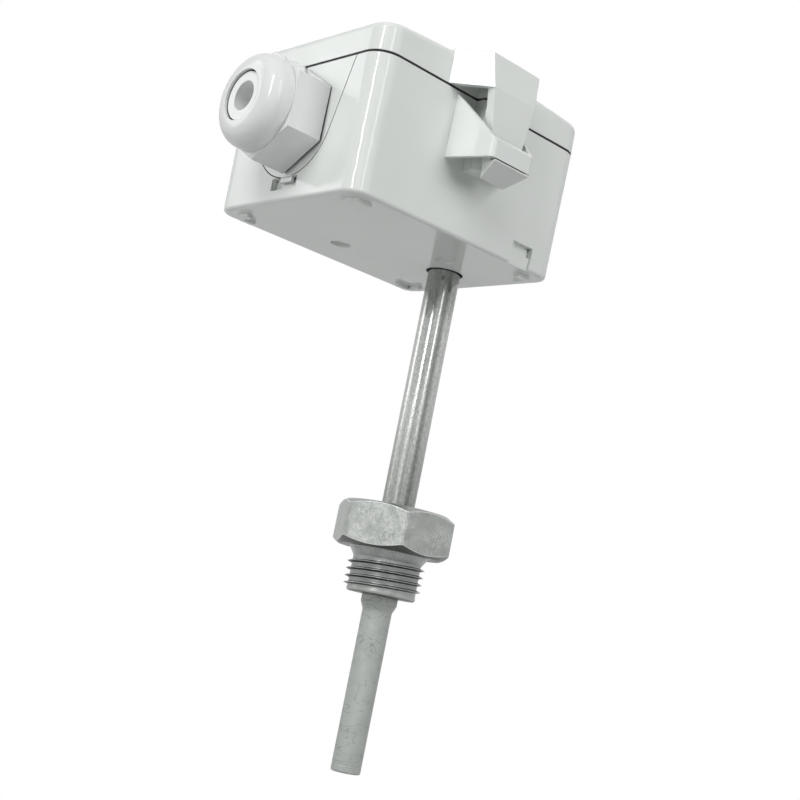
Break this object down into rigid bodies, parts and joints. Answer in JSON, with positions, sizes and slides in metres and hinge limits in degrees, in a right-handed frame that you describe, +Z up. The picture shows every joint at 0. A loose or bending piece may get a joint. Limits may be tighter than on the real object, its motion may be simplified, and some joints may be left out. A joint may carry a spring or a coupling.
{
  "type": "immersion temperature sensor",
  "caption": "Screw-in immersion sensor: closed pocket below a hexagon with pipe thread, long neck tube, latched terminal housing with hinged lid and side cable gland.",
  "frame": {"origin": "on the stem axis, halfway along the screwed thread", "axes": "+Z up along the stem towards the housing, +X along the latch wall away from the cable gland, the latch faces -Y"},
  "size_m": [0.0917, 0.0789, 0.1834],
  "materials": {
    "housing_plastic": "glossy light grey-white moulded plastic",
    "gland_plastic": "glossy white moulded plastic",
    "gland_rubber": "white soft rubber",
    "seal_rubber": "black soft rubber",
    "tube_steel": "drawn stainless tube, satin with lengthwise streaks",
    "fitting_steel": "turned steel with a mottled dull surface",
    "spring_steel": "bright spring steel",
    "element_ceramic": "matt ceramic",
    "lead_insulation": "red and white lead insulation",
    "board_laminate": "green board laminate",
    "screw_steel": "plated screws",
    "terminal_plastic": "green terminal plastic",
    "part_plastic": "black component housings"
  },
  "bodies": {
    "base": {"housing_base": "housing_plastic", "gland_insert": "housing_plastic", "insert_seal": "seal_rubber", "tube_o_ring": "seal_rubber", "tube_clip": "spring_steel", "neck_tube": "tube_steel", "hex_fitting": "fitting_steel", "pocket_tube": "fitting_steel", "sensing_element": "element_ceramic", "sensor_leads": "lead_insulation", "hinge_pins": "spring_steel", "circuit_board": "board_laminate", "board_screws": "screw_steel", "cable_terminal": "terminal_plastic", "cable_terminal_screws": "screw_steel", "lead_terminal": "terminal_plastic", "lead_terminal_screws": "screw_steel", "board_parts": "part_plastic"},
    "lid": {"housing_lid": "housing_plastic", "lid_seal": "seal_rubber"},
    "latch": {"latch_tongue": "housing_plastic"},
    "gland_grip": {"gland_cage": "gland_plastic", "gland_seal": "gland_rubber"},
    "gland_cap": {"gland_nut": "gland_plastic"}
  },
  "joints": [
    {"name": "lid_hinge", "type": "hinge", "parent": "base", "child": "lid", "pos_m": [-0.02274, 0.03295, 0.12115], "axis": [-1, 0, 0], "range_deg": [0, 105]},
    {"name": "latch_flex", "type": "hinge", "parent": "lid", "child": "latch", "pos_m": [-0.02274, -0.03815, 0.1215], "axis": [1, 0, 0], "range_deg": [0, 5.3], "stiffness_Nm_per_rad": 1.2},
    {"name": "gland_loosen", "type": "slide", "parent": "base", "child": "gland_grip", "axis": [-1, 0, 0], "range_m": [0, 0.003]},
    {"name": "gland_nut_turn", "type": "hinge", "parent": "gland_grip", "child": "gland_cap", "pos_m": [-0.06732, 0, 0.10675], "axis": [-1, 0, 0], "range_deg": [0, 720]}
  ],
  "couplings": [
    {"joint": "gland_nut_turn", "follows": "gland_loosen", "rad_per_m": 4188.8}
  ]
}
